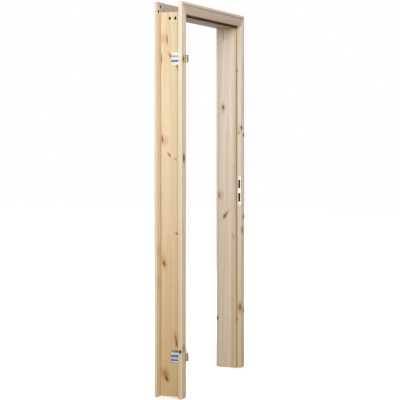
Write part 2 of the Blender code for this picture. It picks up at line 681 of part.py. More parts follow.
def hinge(label, height):
    """One frame half: knuckle with its lug, pin, receiver, backing plate and its screws."""
    origin = in_side("hinge_side", 0, 0, height)
    matrix = Matrix.Translation(origin)
    axis = Vector((KNUCKLE_INSET, -KNUCKLE_FORWARD, 0))
    half = KNUCKLE_HEIGHT / 2

    knuckle_profile = [
        (0, half),
        (KNUCKLE_RADIUS - KNUCKLE_CHAMFER, half),
        (KNUCKLE_RADIUS, half - KNUCKLE_CHAMFER),
        (KNUCKLE_RADIUS, -half + KNUCKLE_CHAMFER),
        (KNUCKLE_RADIUS - KNUCKLE_CHAMFER, -half),
        (0, -half),
    ]
    knuckle_name = "hinge_" + label + "_knuckle"
    knuckle = add_piece(knuckle_name, turned_mesh(knuckle_name, knuckle_profile, 32), GALVANISED,
                        Matrix.Translation(origin + axis))
    lug_low = (LUG_OUTER, -KNUCKLE_FORWARD, -LUG_HEIGHT / 2)
    lug_high = (LUG_INNER, LUG_REACH, LUG_HEIGHT / 2)
    lug = add_cutter(knuckle_name + "_lug", box_mesh(knuckle_name + "_lug", lug_low, lug_high),
                     matrix)
    boolean(knuckle, lug, "UNION")
    socket_mesh = rod_mesh(knuckle_name + "_socket", PIN_RADIUS + GAP, 2 * PIN_SOCKET_DEPTH,
                           start=half - PIN_SOCKET_DEPTH - GAP)
    socket = add_cutter(knuckle_name + "_socket", socket_mesh, Matrix.Translation(origin + axis))
    cut(knuckle, socket)

    pin_profile = [
        (0, half + PIN_STAND),
        (PIN_RADIUS - PIN_TIP_CHAMFER, half + PIN_STAND),
        (PIN_RADIUS, half + PIN_STAND - PIN_TIP_CHAMFER),
        (PIN_RADIUS, half - PIN_SOCKET_DEPTH),
        (0, half - PIN_SOCKET_DEPTH),
    ]
    pin_name = "hinge_" + label + "_pin"
    add_piece(pin_name, turned_mesh(pin_name, pin_profile), GALVANISED,
              Matrix.Translation(origin + axis))

    slot_name = "hinge_" + label + "_slot"
    slot_low = (LUG_OUTER - GAP, -BOARD_EDGE_RADIUS, -LUG_HEIGHT / 2 - GAP)
    slot_high = (LUG_INNER + GAP, LINING_FRONT + GAP, LUG_HEIGHT / 2 + GAP)
    slot = add_cutter(slot_name, box_mesh(slot_name, slot_low, slot_high), matrix)
    cut(FRONT_CASING["hinge_side"], slot)

    receiver_name = "hinge_" + label + "_receiver"
    receiver = add_piece(receiver_name, receiver_mesh(receiver_name), GALVANISED, matrix)
    sheet = receiver.modifiers.new("sheet", "SOLIDIFY")
    sheet.thickness = SHEET_THICKNESS
    sheet.offset = 1
    sheet.use_even_offset = True

    plate_name = "hinge_" + label + "_backing_plate"
    plate_low = (BACKING_FACE, LINING_FRONT + GAP, -RECEIVER_HEIGHT / 2)
    plate_high = (BACKING_FACE + BACKING_THICKNESS, LINING_FRONT + GAP + RECEIVER_LENGTH,
                  RECEIVER_HEIGHT / 2)
    plate = add_piece(plate_name, box_mesh(plate_name, plate_low, plate_high), GALVANISED, matrix)

    for number, rise in enumerate((CLAMP_SCREW_SPACING / 2, -CLAMP_SCREW_SPACING / 2), 1):
        screw_name = "hinge_" + label + "_clamp_screw_" + str(number)
        tip = origin + Vector((LUG_INNER + GAP, CLAMP_SCREW_DEPTH, rise))
        outer_end = origin + Vector((CASING_WIDTH - CLAMP_SCREW_SINK, CLAMP_SCREW_DEPTH, rise))
        length = (outer_end - tip).length
        screw_matrix = rod_matrix(tip, outer_end)
        screw = add_piece(screw_name, rod_mesh(screw_name, CLAMP_SCREW_RADIUS, length, 20),
                          ZINC_SCREW, screw_matrix)
        key_mesh = rod_mesh(screw_name + "_key", CLAMP_SCREW_KEY_RADIUS,
                            2 * CLAMP_SCREW_KEY_DEPTH, 6, start=length - CLAMP_SCREW_KEY_DEPTH)
        cut(screw, add_cutter(screw_name + "_key", key_mesh, screw_matrix))
        bore_mesh = rod_mesh(screw_name + "_bore", CLAMP_SCREW_RADIUS + GAP,
                             length + 4 * CLAMP_SCREW_RADIUS, 20, start=-2 * CLAMP_SCREW_RADIUS)
        bore = add_cutter(screw_name + "_bore", bore_mesh, screw_matrix)
        cut(plate, bore)
        cut(LINING["hinge_side"], bore)
        cut(FRONT_CASING["hinge_side"], bore)

    flange_face = BACKING_FACE - GAP - SHEET_THICKNESS
    for number in range(4):
        screw_name = "hinge_" + label + "_fixing_screw_" + str(number + 1)
        rise = (RECEIVER_HEIGHT - FLANGE_HEIGHT) / 2 * (1 if number < 2 else -1)
        run = FIXING_SCREW_END_DISTANCE
        if number % 2:
            run = RECEIVER_LENGTH - FIXING_SCREW_END_DISTANCE
        underhead = origin + Vector((flange_face - GAP, LINING_FRONT + GAP + run, rise))
        inwards = Vector((1, 0, 0))
        mesh = headed_screw_mesh(screw_name, FIXING_SCREW_RADIUS, FIXING_SCREW_LENGTH,
                                 FIXING_SCREW_HEAD_RADIUS, FIXING_SCREW_HEAD_HEIGHT)
        add_piece(screw_name, mesh, ZINC_SCREW, rod_matrix(underhead, underhead + inwards))
        bore = screw_bore(screw_name + "_bore", underhead, inwards, FIXING_SCREW_RADIUS,
                          FIXING_SCREW_LENGTH)
        cut(receiver, bore)
        cut(plate, bore)
        cut(LINING["hinge_side"], bore)


hinge("upper", FRAME_HEIGHT - UPPER_HINGE_BELOW_TOP)
hinge("lower", LOWER_HINGE_ABOVE_FLOOR)


# Strike plate

def strike_box(name, r_low, r_high, y_low, y_high, z_low, z_high):
    """A box in the strike jamb, from r, y and the height over the plate's centre."""
    matrix = Matrix.Translation(in_side("strike_side", 0, 0, STRIKE_CENTRE_HEIGHT))
    mesh = box_mesh(name, (-r_high, y_low, z_low), (-r_low, y_high, z_high))
    return add_cutter(name, mesh, matrix)


def strike_outline():
    """The plate's outline in y and height, with small round corners."""
    half = STRIKE_HEIGHT / 2
    front = STRIKE_SETBACK
    back = STRIKE_SETBACK + STRIKE_WIDTH
    return rounded([
        (front, -half, STRIKE_CORNER_RADIUS),
        (back, -half, STRIKE_CORNER_RADIUS),
        (back, half, STRIKE_CORNER_RADIUS),
        (front, half, STRIKE_CORNER_RADIUS),
    ])


def strike_plate():
    """The plate lies flush in the rebate, over a mortise for the latch and one for the bolt."""
    plate_mesh = extruded_mesh("strike_plate", [strike_outline()], STRIKE_THICKNESS)
    flat = Matrix(((0, 0, -1), (1, 0, 0), (0, 1, 0))).to_4x4()
    place = Matrix.Translation(in_side("strike_side", CASING_WIDTH - STRIKE_THICKNESS / 2, 0,
                                       STRIKE_CENTRE_HEIGHT))
    plate = add_piece("strike_plate", plate_mesh, STRIKE_STEEL, place @ flat)

    behind = CASING_WIDTH - STRIKE_THICKNESS - GAP
    half = STRIKE_HEIGHT / 2 + GAP
    seat = strike_box("strike_seat", behind, CASING_WIDTH + STOP_HEIGHT / 4,
                      -BOARD_EDGE_RADIUS, STRIKE_SETBACK + STRIKE_WIDTH + GAP, -half, half)
    cut(FRONT_CASING["strike_side"], seat)
    cut(LINING["strike_side"], seat)

    slot_front = STRIKE_SETBACK + SLOT_FRONT_MARGIN
    slot_back = slot_front + SLOT_WIDTH
    slots = (
        ("latch", LATCH_SLOT_RISE, LATCH_SLOT_HEIGHT),
        ("bolt", -BOLT_SLOT_DROP, BOLT_SLOT_HEIGHT),
    )
    for label, centre, height in slots:
        low = centre - height / 2
        high = centre + height / 2
        slot = strike_box(label + "_slot", behind, CASING_WIDTH + STRIKE_THICKNESS, slot_front,
                          slot_back, low, high)
        cut(plate, slot)
        mortise = strike_box(label + "_mortise", behind - MORTISE_DEPTH, behind + STRIKE_THICKNESS,
                             slot_front - MORTISE_MARGIN, slot_back + MORTISE_MARGIN,
                             low - MORTISE_MARGIN, high + MORTISE_MARGIN)
        cut(FRONT_CASING["strike_side"], mortise)
        cut(LINING["strike_side"], mortise)

    face = CASING_WIDTH
    for number, way in ((1, 1), (2, -1)):
        name = "strike_screw_" + str(number)
        height = STRIKE_CENTRE_HEIGHT + way * (STRIKE_HEIGHT / 2 - STRIKE_SCREW_END_DISTANCE)
        y = STRIKE_SETBACK + STRIKE_WIDTH / 2
        start = in_side("strike_side", face - GAP, y, height)
        inwards = Vector((1, 0, 0))
        sink = STRIKE_SCREW_HEAD_HEIGHT
        profile = [
            (0, STRIKE_SCREW_LENGTH),
            (STRIKE_SCREW_RADIUS, STRIKE_SCREW_LENGTH - 2 * STRIKE_SCREW_RADIUS),
            (STRIKE_SCREW_RADIUS, sink),
            (STRIKE_SCREW_HEAD_RADIUS, 0),
            (0, 0),
        ]
        matrix = rod_matrix(start, start + inwards)
        add_piece(name, turned_mesh(name, profile, 20), ZINC_SCREW, matrix)
        bore = screw_bore(name + "_bore", start, inwards, STRIKE_SCREW_RADIUS,
                          STRIKE_SCREW_LENGTH)
        sink_mesh = rod_mesh(name + "_sink", STRIKE_SCREW_HEAD_RADIUS + 2 * GAP, sink + GAP, 20,
                             tip_radius=STRIKE_SCREW_RADIUS + GAP, start=-GAP)
        countersink = add_cutter(name + "_sink", sink_mesh, matrix)
        cut(plate, countersink)
        cut(plate, bore)
        cut(FRONT_CASING["strike_side"], bore)


strike_plate()
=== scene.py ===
import math

import bmesh
import bpy
from mathutils import Matrix, Vector


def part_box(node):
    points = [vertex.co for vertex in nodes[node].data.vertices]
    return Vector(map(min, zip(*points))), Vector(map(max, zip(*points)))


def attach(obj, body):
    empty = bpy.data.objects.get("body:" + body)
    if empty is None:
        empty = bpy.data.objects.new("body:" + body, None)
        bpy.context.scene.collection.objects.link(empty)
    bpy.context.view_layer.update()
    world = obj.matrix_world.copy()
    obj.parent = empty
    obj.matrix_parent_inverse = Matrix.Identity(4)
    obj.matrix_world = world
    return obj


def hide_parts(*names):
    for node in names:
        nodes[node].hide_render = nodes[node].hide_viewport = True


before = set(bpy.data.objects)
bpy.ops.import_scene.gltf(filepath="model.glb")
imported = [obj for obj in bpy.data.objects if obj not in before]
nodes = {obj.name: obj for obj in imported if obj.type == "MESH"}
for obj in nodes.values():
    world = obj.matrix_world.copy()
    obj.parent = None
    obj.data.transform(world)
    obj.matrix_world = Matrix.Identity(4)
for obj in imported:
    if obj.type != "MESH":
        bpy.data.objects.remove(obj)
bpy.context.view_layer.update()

# Camera
# A long lens stands left of the frame's front and looks level along it. The photograph is
# cropped low, so the view is shifted down instead of tilted.
front_low, front_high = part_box("front_casing_hinge_side")
hinge_edge = front_low.x
front_face = front_low.y
left_of_frame, before_frame, eye_height = 5.94, 2.43, 1.408
turned_right = math.radians(68.6)
camera_data = bpy.data.cameras.new("photo_camera")
camera_data.sensor_width = 36.0
camera_data.lens = 111.87
camera_data.shift_y = -0.1825
camera_data.clip_end = 60.0
camera = bpy.data.objects.new("photo_camera", camera_data)
camera.location = (hinge_edge - left_of_frame, front_face - before_frame, eye_height)
camera.rotation_euler = (math.radians(90), 0, -turned_right)
bpy.context.scene.collection.objects.link(camera)
bpy.context.scene.camera = camera

# Lining boards
# Three planed pine boards, rebated for the door leaf and mitred at the top corners. The wood is
# bare: pale early wood, thin darker late wood, and knots that the grain flows round. Painted
# shade darkens the boards towards their lower ends, beside the stop, along the rear joints, under
# the head and on the head. Corner screws sit in pockets drilled at 45 degrees, whose walls are
# painted dark as painted shade.


class Wire:
    """A shader socket that can be used in sums, so that a pattern reads as an expression."""

    def __init__(self, owner, socket):
        self.owner = owner
        self.socket = socket

    def math(self, operation, *others):
        return self.owner.math(operation, self, *others)

    def __add__(self, other):
        return self.math("ADD", other)

    def __sub__(self, other):
        return self.math("SUBTRACT", other)

    def __mul__(self, other):
        return self.math("MULTIPLY", other)

    def __truediv__(self, other):
        return self.math("DIVIDE", other)

    def __rsub__(self, other):
        return self.owner.math("SUBTRACT", other, self)

    def __rtruediv__(self, other):
        return self.owner.math("DIVIDE", other, self)

    __radd__ = __add__
    __rmul__ = __mul__

    def rise(self, low, high):
        """0 at low, 1 at high, and a soft step between them. Swapped ends make it fall."""
        return self.owner.wire("ShaderNodeMapRange", {"interpolation_type": "SMOOTHSTEP"},
                               {"Value": self, "From Min": low, "From Max": high})


class Nodes:
    """The nodes of a material or of the room, with the one call that adds any node."""

    def __init__(self, tree):
        self.tree = tree

    def node(self, kind, settings=None, inputs=None):
        """Adds a node, sets its settings and then its inputs, which are values or links."""
        made = self.tree.nodes.new(kind)
        for key, value in (settings or {}).items():
            setattr(made, key, value)
        for key, value in (inputs or {}).items():
            self.feed(made.inputs[key], value)
        return made

    def feed(self, target, value):
        if isinstance(value, Wire):
            self.tree.links.new(value.socket, target)
        elif target.type == "RGBA" and len(value) == 3:
            target.default_value = (*value, 1.0)
        else:
            target.default_value = value

    def wire(self, kind, settings=None, inputs=None, output=0):
        """Adds a node and gives one of its outputs, for use in an expression."""
        return Wire(self, self.node(kind, settings, inputs).outputs[output])

    def math(self, operation, *values):
        return self.wire("ShaderNodeMath", {"operation": operation}, dict(enumerate(values)))


class Finish(Nodes):
    """A material that a piece wears."""

    def __init__(self, name, metallic=0.0):
        self.material = bpy.data.materials.new(name)
        self.material.use_nodes = True
        super().__init__(self.material.node_tree)
        self.shader = self.tree.nodes["Principled BSDF"]
        self.shader.inputs["Metallic"].default_value = metallic

    def place(self):
        """Object coordinates as three wires, in metres along X, Y and Z."""
        coordinates = self.wire("ShaderNodeTexCoord", output="Object")
        split = self.node("ShaderNodeSeparateXYZ", None, {0: coordinates})
        return [Wire(self, output) for output in split.outputs]

    def noise(self, x, y, z, detail=2.0):
        joined = self.wire("ShaderNodeCombineXYZ", None, {0: x, 1: y, 2: z})
        return self.wire("ShaderNodeTexNoise", None,
                         {"Vector": joined, "Scale": 1.0, "Detail": detail})

    def mix(self, factor, first, second):
        """A colour between two, which are wires or plain colours."""
        return self.wire("ShaderNodeMix", {"data_type": "RGBA"},
                         {0: factor, 6: first, 7: second}, output=2)

    def paint(self, color, roughness):
        self.feed(self.shader.inputs["Base Color"], color)
        self.feed(self.shader.inputs["Roughness"], roughness)

    def bump(self, height, distance):
        self.feed(self.shader.inputs["Normal"], self.wire(
            "ShaderNodeBump", None, {"Height": height, "Distance": distance, "Strength": 0.6}))

    def wear(self, *pieces):
        """Puts the material on pieces, in place of the one that they came with."""
        for piece in pieces:
            piece.data.materials.clear()
            piece.data.materials.append(self.material)


def seen(red, green, blue):
    """A colour as the eye sees it, from 0 to 255, turned into the light that it reflects."""
    channels = (red / 255, green / 255, blue / 255)
    return tuple(c / 12.92 if c <= 0.04045 else ((c + 0.055) / 1.055) ** 2.4 for c in channels)


def mark(run, across, half_run, half_across, depth, color, tilt=0, soft=0.35, flow=0.8,
         through=None, square=False):
    """A knot, stain or patch of painted shade, by its run and half sizes in mm, its strength,
    colour and soft edge.

    across is a place. tilt turns the mark, in degrees. flow is how far the grain bends round it.
    through is its place and half size in the board's thickness, where it doesn't go through.
    """
    return {"run": run / 1000, "across": across, "half_run": half_run / 1000,
            "half_across": half_across / 1000, "depth": depth, "color": color,
            "tilt": math.radians(tilt), "soft": soft, "flow": flow, "through": through,
            "square": square}


RED_BLUSH = seen(222, 193, 162)
# Painted shade: the darker, yellower colour that boards take towards their lower ends.
LOWER_SHADE_COLOR = seen(192, 157, 98)
LATE_WOOD = seen(184, 150, 104)
DARK_FIBRE = seen(150, 116, 80)
KNOT_HALO = seen(188, 146, 92)


def pine(name, axes, seed, pale, warm, heart, marks, lower_shade=0.0, rings=0.26):
    """Planed pine for one board.

    axes are the numbers of the axes along, across and through the board. heart is the tree's
    centre across and through it. lower_shade is how much painted shade darkens and yellows the
    board towards its lower end, and rings is how strong the late wood is.
    """
    ring_width, wander, taper = 0.0038, 0.010, 0.004
    finish = Finish(name)
    place = finish.place()
    run, width, depth = (place[axis] for axis in axes)

    def streaks(over, along, across, shift=seed):
        """Noise that is drawn out along the board, over its width or its bent grain."""
        return finish.noise(run * along + shift, over * across, depth * across)

    fray = streaks(width, 60.0, 190.0) - 0.5
    lay = width
    spots = []
    for spot in marks:
        ahead = run - spot["run"]
        aside = width - spot["across"]
        cosine, sine = math.cos(spot["tilt"]), math.sin(spot["tilt"])
        along = (ahead * cosine + aside * sine) * (1 / spot["half_run"])
        beside = (aside * cosine - ahead * sine) * (1 / spot["half_across"])
        squares = along * along + beside * beside
        furthest = along.math("ABSOLUTE").math("MAXIMUM", beside.math("ABSOLUTE"))
        if spot["through"]:
            inner_place, inner_half = spot["through"]
            inner = (depth - inner_place) * (1 / inner_half)
            squares = squares + inner * inner
            furthest = furthest.math("MAXIMUM", inner.math("ABSOLUTE"))
        reach = furthest if spot["square"] else squares.math("SQRT")
        spots.append((spot, reach + fray * (0.9 * spot["soft"])))
        if spot["flow"]:
            near = 1.0 / (squares * 0.35 + 1.0)
            side = beside / (beside * beside + 0.3).math("SQRT")
            lay = lay - side * near * (spot["half_across"] * spot["flow"])
    drift = streaks(width, 1.3, 5.0) - 0.5
    out = lay - heart[0] + drift * wander
    up_from_heart = depth - heart[1]
    radius = (out * out + up_from_heart * up_from_heart).math("SQRT")
    ring = ((radius + run * taper + drift * (0.6 * wander)) * (1 / ring_width)).math("FRACT")
    late = ring.rise(0.30, 0.86) * ring.rise(1.0, 0.90)
    band = streaks(lay, 0.8, 46.0)
    blush = streaks(lay, 2.2, 20.0, -seed)
    fibre = streaks(lay, 16.0, 1100.0)
    color = finish.mix(band.rise(0.34, 0.66), pale, warm)
    color = finish.mix(blush.rise(0.52, 0.74) * 0.22, color, RED_BLUSH)
    # Painted shade, darker and yellower towards the board's lower end.
    if lower_shade:
        color = finish.mix(run.rise(1.7, -0.3) * lower_shade, color, LOWER_SHADE_COLOR)
    color = finish.mix(late * rings, color, LATE_WOOD)
    color = finish.mix(fibre.rise(0.45, 0.80) * 0.16, color, DARK_FIBRE)
    for spot, reach in spots:
        if spot["flow"]:
            color = finish.mix(reach.rise(2.3, 0.8) * (0.4 * spot["depth"]), color, KNOT_HALO)
        cover = reach.rise(1.0 + 0.6 * spot["soft"], 1.0 - 1.3 * spot["soft"]) * spot["depth"]
        color = finish.mix(cover, color, spot["color"])
    finish.paint(color, 0.68 - late * 0.10)
    finish.shader.inputs["Specular IOR Level"].default_value = 0.3
    finish.bump(fibre * 0.4 + late * 0.6, 0.00012)
    return finish


def back(millimetres):
    """A distance behind the frame's front face, as a place along Y."""
    return front_face + millimetres / 1000


strike_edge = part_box("front_casing_strike_side")[1].x
top = front_high.z
lining_wall_side = 0.051
near_wall = hinge_edge + lining_wall_side
far_wall = strike_edge - lining_wall_side
heart_behind = 0.12
CREAM = seen(228, 211, 179)
STRAW = seen(224, 205, 171)
PALE = seen(236, 225, 208)
PINKISH = seen(231, 213, 194)
CORE = seen(66, 40, 22)
BROWN = seen(132, 90, 52)
AMBER = seen(196, 152, 92)
REDDISH = seen(184, 128, 84)
SIENNA = seen(150, 80, 38)
ROSE = seen(206, 160, 132)
# Painted shade: the near-black colour painted on the walls of holes, pockets and slots.
HOLE_SHADE = seen(22, 17, 14)
JAMB_AXES, HEAD_AXES = (2, 1, 0), (0, 1, 2)


def pockets(wall_side):
    """Painted shade on the walls of a corner's two screw pockets, which open on the board's wall
    side.
    """
    return [mark(1976, back(place), 8.9, 6.2, 1.0, HOLE_SHADE, soft=0.05, flow=0,
                 through=(wall_side, 0.016)) for place in (56, 87.5)]


near_marks = [
    mark(1500, back(49), 520, 2.5, 0.25, ROSE, soft=0.9, flow=0),
    # Painted shadow: a thin dark line along the lining's joint with the rear casing.
    mark(1000, back(137), 900, 4.5, 0.30, BROWN, soft=0.6, flow=0),
    mark(1872, back(124), 24, 15, 0.50, AMBER, soft=0.8),
    mark(1866, back(103), 23, 4.5, 0.85, BROWN, tilt=4, soft=0.5),
    mark(1768, back(135), 32, 4.5, 0.75, BROWN, soft=0.5),
    mark(1780, back(84), 19, 5.5, 0.85, BROWN, tilt=34, soft=0.5),
    mark(1722, back(45), 15, 5, 0.85, BROWN, tilt=10, soft=0.5),
    mark(1345, back(130), 23, 5, 0.95, CORE, soft=0.6),
    mark(1334, back(114), 17, 15, 0.50, AMBER, soft=0.9),
    mark(1262, back(90), 13, 6, 0.85, BROWN, tilt=38, soft=0.5),
    mark(1243, back(54), 5, 7, 0.75, BROWN, soft=0.6),
    mark(852, back(47), 6, 11, 0.80, BROWN, tilt=-20, soft=0.6),
    mark(704, back(123), 28, 16, 0.65, REDDISH, tilt=14, soft=0.8),
    mark(692, back(119), 19, 9, 0.95, SIENNA, tilt=20, soft=0.6),
    mark(306, back(72), 18, 10, 0.4, ROSE, soft=0.7),
    mark(298, back(52), 34, 7, 0.85, SIENNA, tilt=10, soft=0.6),
    mark(276, back(49), 14, 6, 0.80, CORE, soft=0.7),
    mark(116, back(113), 27, 20, 0.80, SIENNA, tilt=24, soft=0.9),
    mark(92, back(105), 19, 10, 0.95, seen(92, 54, 26), tilt=18, soft=0.7),
] + pockets(near_wall)
pine("pine_lining_hinge_side", JAMB_AXES, 3.1, CREAM, STRAW,
     (back(96), hinge_edge - heart_behind), near_marks, lower_shade=0.74,
     rings=0.19).wear(nodes["lining_hinge_side"])
far_marks = [
    # Painted shade beside the stop, along the whole jamb.
    mark(1000, back(29), 1200, 7, 0.46, seen(142, 116, 78), soft=0.5, flow=0),
    # Painted shadow: a thin dark line along the joint with the rear casing.
    mark(1000, back(134), 1200, 3.2, 0.38, seen(166, 126, 96), soft=0.5, flow=0),
    mark(0, back(46), 1500, 12, 0.50, seen(160, 124, 88), soft=0.9, flow=0),
    # Painted shade at the top of the jamb, under the head.
    mark(1985, back(70), 50, 62, 0.45, seen(190, 158, 96), soft=0.9, flow=0),
    mark(1945, back(104), 32, 4, 0.60, BROWN, soft=0.8),
    mark(1735, back(21), 7, 5, 0.95, CORE, soft=0.5),
    mark(1738, back(17), 14, 7, 0.50, AMBER, soft=0.9),
    mark(1524, back(105), 13, 7, 1.0, CORE, soft=0.6),
    mark(1520, back(105), 32, 10, 0.30, BROWN, soft=0.9),
    mark(1009, back(122), 17, 16, 0.55, ROSE, soft=0.9),
    mark(1008, back(131), 20, 6, 0.85, seen(136, 92, 60), soft=0.6, tilt=6),
    mark(896, back(88), 25, 6, 0.75, seen(124, 96, 64), tilt=-36, soft=0.7),
    mark(886, back(95), 15, 9, 0.90, seen(106, 80, 52), tilt=-20, soft=0.7),
    mark(766, back(42), 25, 5, 0.45, BROWN, tilt=12, soft=0.7),
    mark(284, back(21), 7, 6, 1.0, CORE, soft=0.5),
    mark(284, back(17), 9, 9, 0.50, AMBER, soft=0.9),
] + pockets(far_wall)
pine("pine_lining_strike_side", JAMB_AXES, 11.7, PALE, PINKISH,
     (back(74), strike_edge + heart_behind), far_marks, lower_shade=0.42,
     rings=0.15).wear(nodes["lining_strike_side"])
# Painted shade: the head lining's colours are darker than the jambs' as painted shade on its
# underside, and rebate_shade is a painted shadow along the rebate.
rebate_shade = mark(0, back(22), 700, 6, 0.8, seen(96, 64, 36), soft=0.4, flow=0)
pine("pine_lining_head", HEAD_AXES, 21.3, seen(168, 148, 124), seen(156, 134, 108),
     (back(100), top + heart_behind), [rebate_shade]).wear(nodes["lining_head"])

# Front casings
# Three flat pine casings glued to the lining's front edge, mitred at the top corners and run
# with one fine groove round the outside, which is painted dark as painted shade. They carry the
# hinge slots and the routed mortises for the lock, whose depths are painted dark as painted shade.


def from_hinge_edge(millimetres):
    """A distance in from the hinge side's outer edge, as a place along X."""
    return hinge_edge + millimetres / 1000


def from_strike_edge(millimetres):
    """A distance in from the strike side's outer edge, as a place along X."""
    return strike_edge - millimetres / 1000


def from_top(millimetres):
    """A distance down from the head's upper edge, as a place along Z."""
    return top - millimetres / 1000


CASING_JAMB_AXES, CASING_HEAD_AXES = (2, 0, 1), (0, 2, 1)
GROOVE_SHADE = seen(92, 66, 46)
front_heart = back(-110)


def face_groove(run, from_edge):
    """Painted shade in the fine groove round the outside of a front casing, and the paler strip
    outside it.
    """
    return [mark(run, from_edge(7), 1200, 7.6, 0.55, PALE, soft=0.1, flow=0,
                 through=(back(0), 0.0015), square=True),
            # Painted shade in the groove.
            mark(run, from_edge(16.4), 1200, 1.7, 0.85, GROOVE_SHADE, soft=0.05, flow=0,
                 through=(back(2.2), 0.0021), square=True)]


def face_spot(run, across, half_run, half_across, depth, color, soft, reach=0.010):
    """A dark spot at a casing's front face, which reaches a little way into the wood: a knot, and
    at the upper hinge a painted shadow of its knuckle.
    """
    return mark(run, across, half_run, half_across, depth, color, soft=soft,
                through=(back(0), reach))


near_front_marks = face_groove(1000, from_hinge_edge) + [
    mark(246, from_hinge_edge(0), 9, 9, 1.0, seen(38, 24, 15), soft=0.4,
         through=(back(8), 0.009)),
    # Painted shadow of the upper hinge's knuckle on the casing's face, beside it at its height.
    face_spot(1760, from_hinge_edge(26), 17, 13, 0.95, seen(112, 78, 42), 0.5),
    face_spot(1247, from_hinge_edge(32), 24, 13, 1.0, CORE, 0.5),
    face_spot(260, from_hinge_edge(32), 20, 12, 0.90, BROWN, 0.7),
]
pine("pine_front_hinge_side", CASING_JAMB_AXES, 31.9, seen(237, 227, 204),
     seen(230, 215, 184), (from_hinge_edge(20), front_heart), near_front_marks,
     lower_shade=0.6).wear(nodes["front_casing_hinge_side"])
reveal_edge = (back(9.4), 0.0086)
far_front_marks = face_groove(1000, from_strike_edge) + [
    mark(1000, from_strike_edge(63.5), 1200, 1.0, 0.30, seen(212, 188, 148), soft=0.1, flow=0,
         through=reveal_edge, square=True),
    mark(1985, from_strike_edge(63.5), 190, 1.0, 0.50, seen(206, 164, 100), soft=0.7, flow=0,
         through=reveal_edge, square=True),
    mark(1376, from_strike_edge(63), 10, 8, 0.7, REDDISH, soft=0.8, through=(back(14), 0.009)),
    face_spot(1404, from_strike_edge(50), 13, 14, 1.0, CORE, 0.5),
    face_spot(1362, from_strike_edge(15), 10, 13, 1.0, CORE, 0.4, reach=0.012),
    face_spot(882, from_strike_edge(13), 12, 15, 1.0, CORE, 0.4, reach=0.012),
    face_spot(803, from_strike_edge(38), 20, 15, 1.0, BROWN, 0.6),
    mark(354, from_strike_edge(60), 27, 13, 0.95, SIENNA, soft=0.6, through=(back(5), 0.012)),
    face_spot(332, from_strike_edge(10), 17, 15, 1.0, CORE, 0.4, reach=0.012),
]
mortises = ((1074.5, 26.5), (996.5, 27.5))
plate_middle = back(9.1)
# Painted shade: the mortises' depths are painted near black.
for height, half_height in mortises:
    far_front_marks.append(mark(height, from_strike_edge(51), half_height, 11.5, 1.0, HOLE_SHADE,
                                soft=0.02, flow=0, through=(plate_middle, 0.0078), square=True))
pine("pine_front_strike_side", CASING_JAMB_AXES, 43.2, seen(250, 244, 232),
     seen(245, 236, 218), (from_strike_edge(30), front_heart), far_front_marks,
     lower_shade=0.75).wear(nodes["front_casing_strike_side"])
head_front_marks = face_groove(0, from_top) + [
    face_spot(-30, from_top(34), 14, 9, 0.45, ROSE, 0.8),
    face_spot(-400, from_top(30), 30, 9, 0.30, ROSE, 0.9),
    face_spot(300, from_top(46), 40, 6, 0.30, AMBER, 0.9),
]
pine("pine_front_head", CASING_HEAD_AXES, 57.4, seen(210, 192, 176), seen(200, 178, 158),
     (from_top(30), front_heart), head_front_marks).wear(nodes["front_casing_head"])

# Rear casings
# Three pine casings that slide in the lining's rear groove by a long tongue. Each corner is drawn
# together by a mitre connector, with one hole in each board's wall side whose walls are painted
# dark as painted shade.


def connector_hole(run, across):
    """Painted shade on the wall of one drum hole, as a mark on the board's wall side."""
    return mark(run, across, 8.4, 8.4, 1.0, HOLE_SHADE, soft=0.02, flow=0, through=(back(139), 0.030))


hole_along, hole_across = 48.5, 21.5
jamb_hole_run = from_top(hole_along) * 1000
rear_heart = back(260)
near_rear_marks = [
    connector_hole(jamb_hole_run, from_hinge_edge(hole_across)),
    mark(765, from_hinge_edge(20), 26, 11, 0.40, REDDISH, soft=0.8),
    mark(595, from_hinge_edge(22), 30, 11, 0.40, REDDISH, soft=0.8),
]
pine("pine_rear_hinge_side", CASING_JAMB_AXES, 63.8, seen(234, 218, 194),
     seen(227, 207, 173), (from_hinge_edge(30), rear_heart), near_rear_marks, lower_shade=0.12,
     rings=0.16).wear(nodes["rear_casing_hinge_side"])
far_rear_marks = [
    connector_hole(jamb_hole_run, from_strike_edge(hole_across)),
    mark(0, from_strike_edge(76), 620, 14, 0.60, seen(140, 114, 86), soft=0.9, flow=0),
    mark(284, from_strike_edge(63), 11, 6, 0.9, CORE, soft=0.5, through=(back(144), 0.012)),
]
pine("pine_rear_strike_side", CASING_JAMB_AXES, 71.5, seen(246, 238, 226),
     seen(238, 227, 208), (from_strike_edge(30), rear_heart), far_rear_marks, lower_shade=0.1,
     rings=0.16).wear(nodes["rear_casing_strike_side"])
head_holes = [connector_hole(from_edge(hole_along) * 1000, from_top(hole_across))
              for from_edge in (from_hinge_edge, from_strike_edge)]
pine("pine_rear_head", CASING_HEAD_AXES, 83.6, seen(213, 202, 195), seen(201, 189, 179),
     (from_top(30), rear_heart), head_holes).wear(nodes["rear_casing_head"])

# Seals
# Brown extruded seals, pressed by a stem into the stop's groove. The soft bulb in front takes the
# door leaf. The head's seal is painted darker as painted shade under the head's casing.
jamb_browns = (seen(150, 128, 96), seen(170, 148, 114))
# Painted shade: the head's seal wears a darker copy of the seal's browns.
head_shaded_browns = (seen(58, 36, 20), seen(78, 52, 32))
for side, browns in (("hinge_side", jamb_browns), ("strike_side", jamb_browns),
                     ("head", head_shaded_browns)):
    seal = Finish("seal_" + side)
    x, y, z = seal.place()
    mottle = seal.noise(x * 300.0, y * 300.0, z * 300.0)
    seal.paint(seal.mix(mottle, *browns), 0.9)
    seal.shader.inputs["Specular IOR Level"].default_value = 0.15
    seal.bump(mottle, 0.0001)
    seal.wear(nodes["seal_" + side])

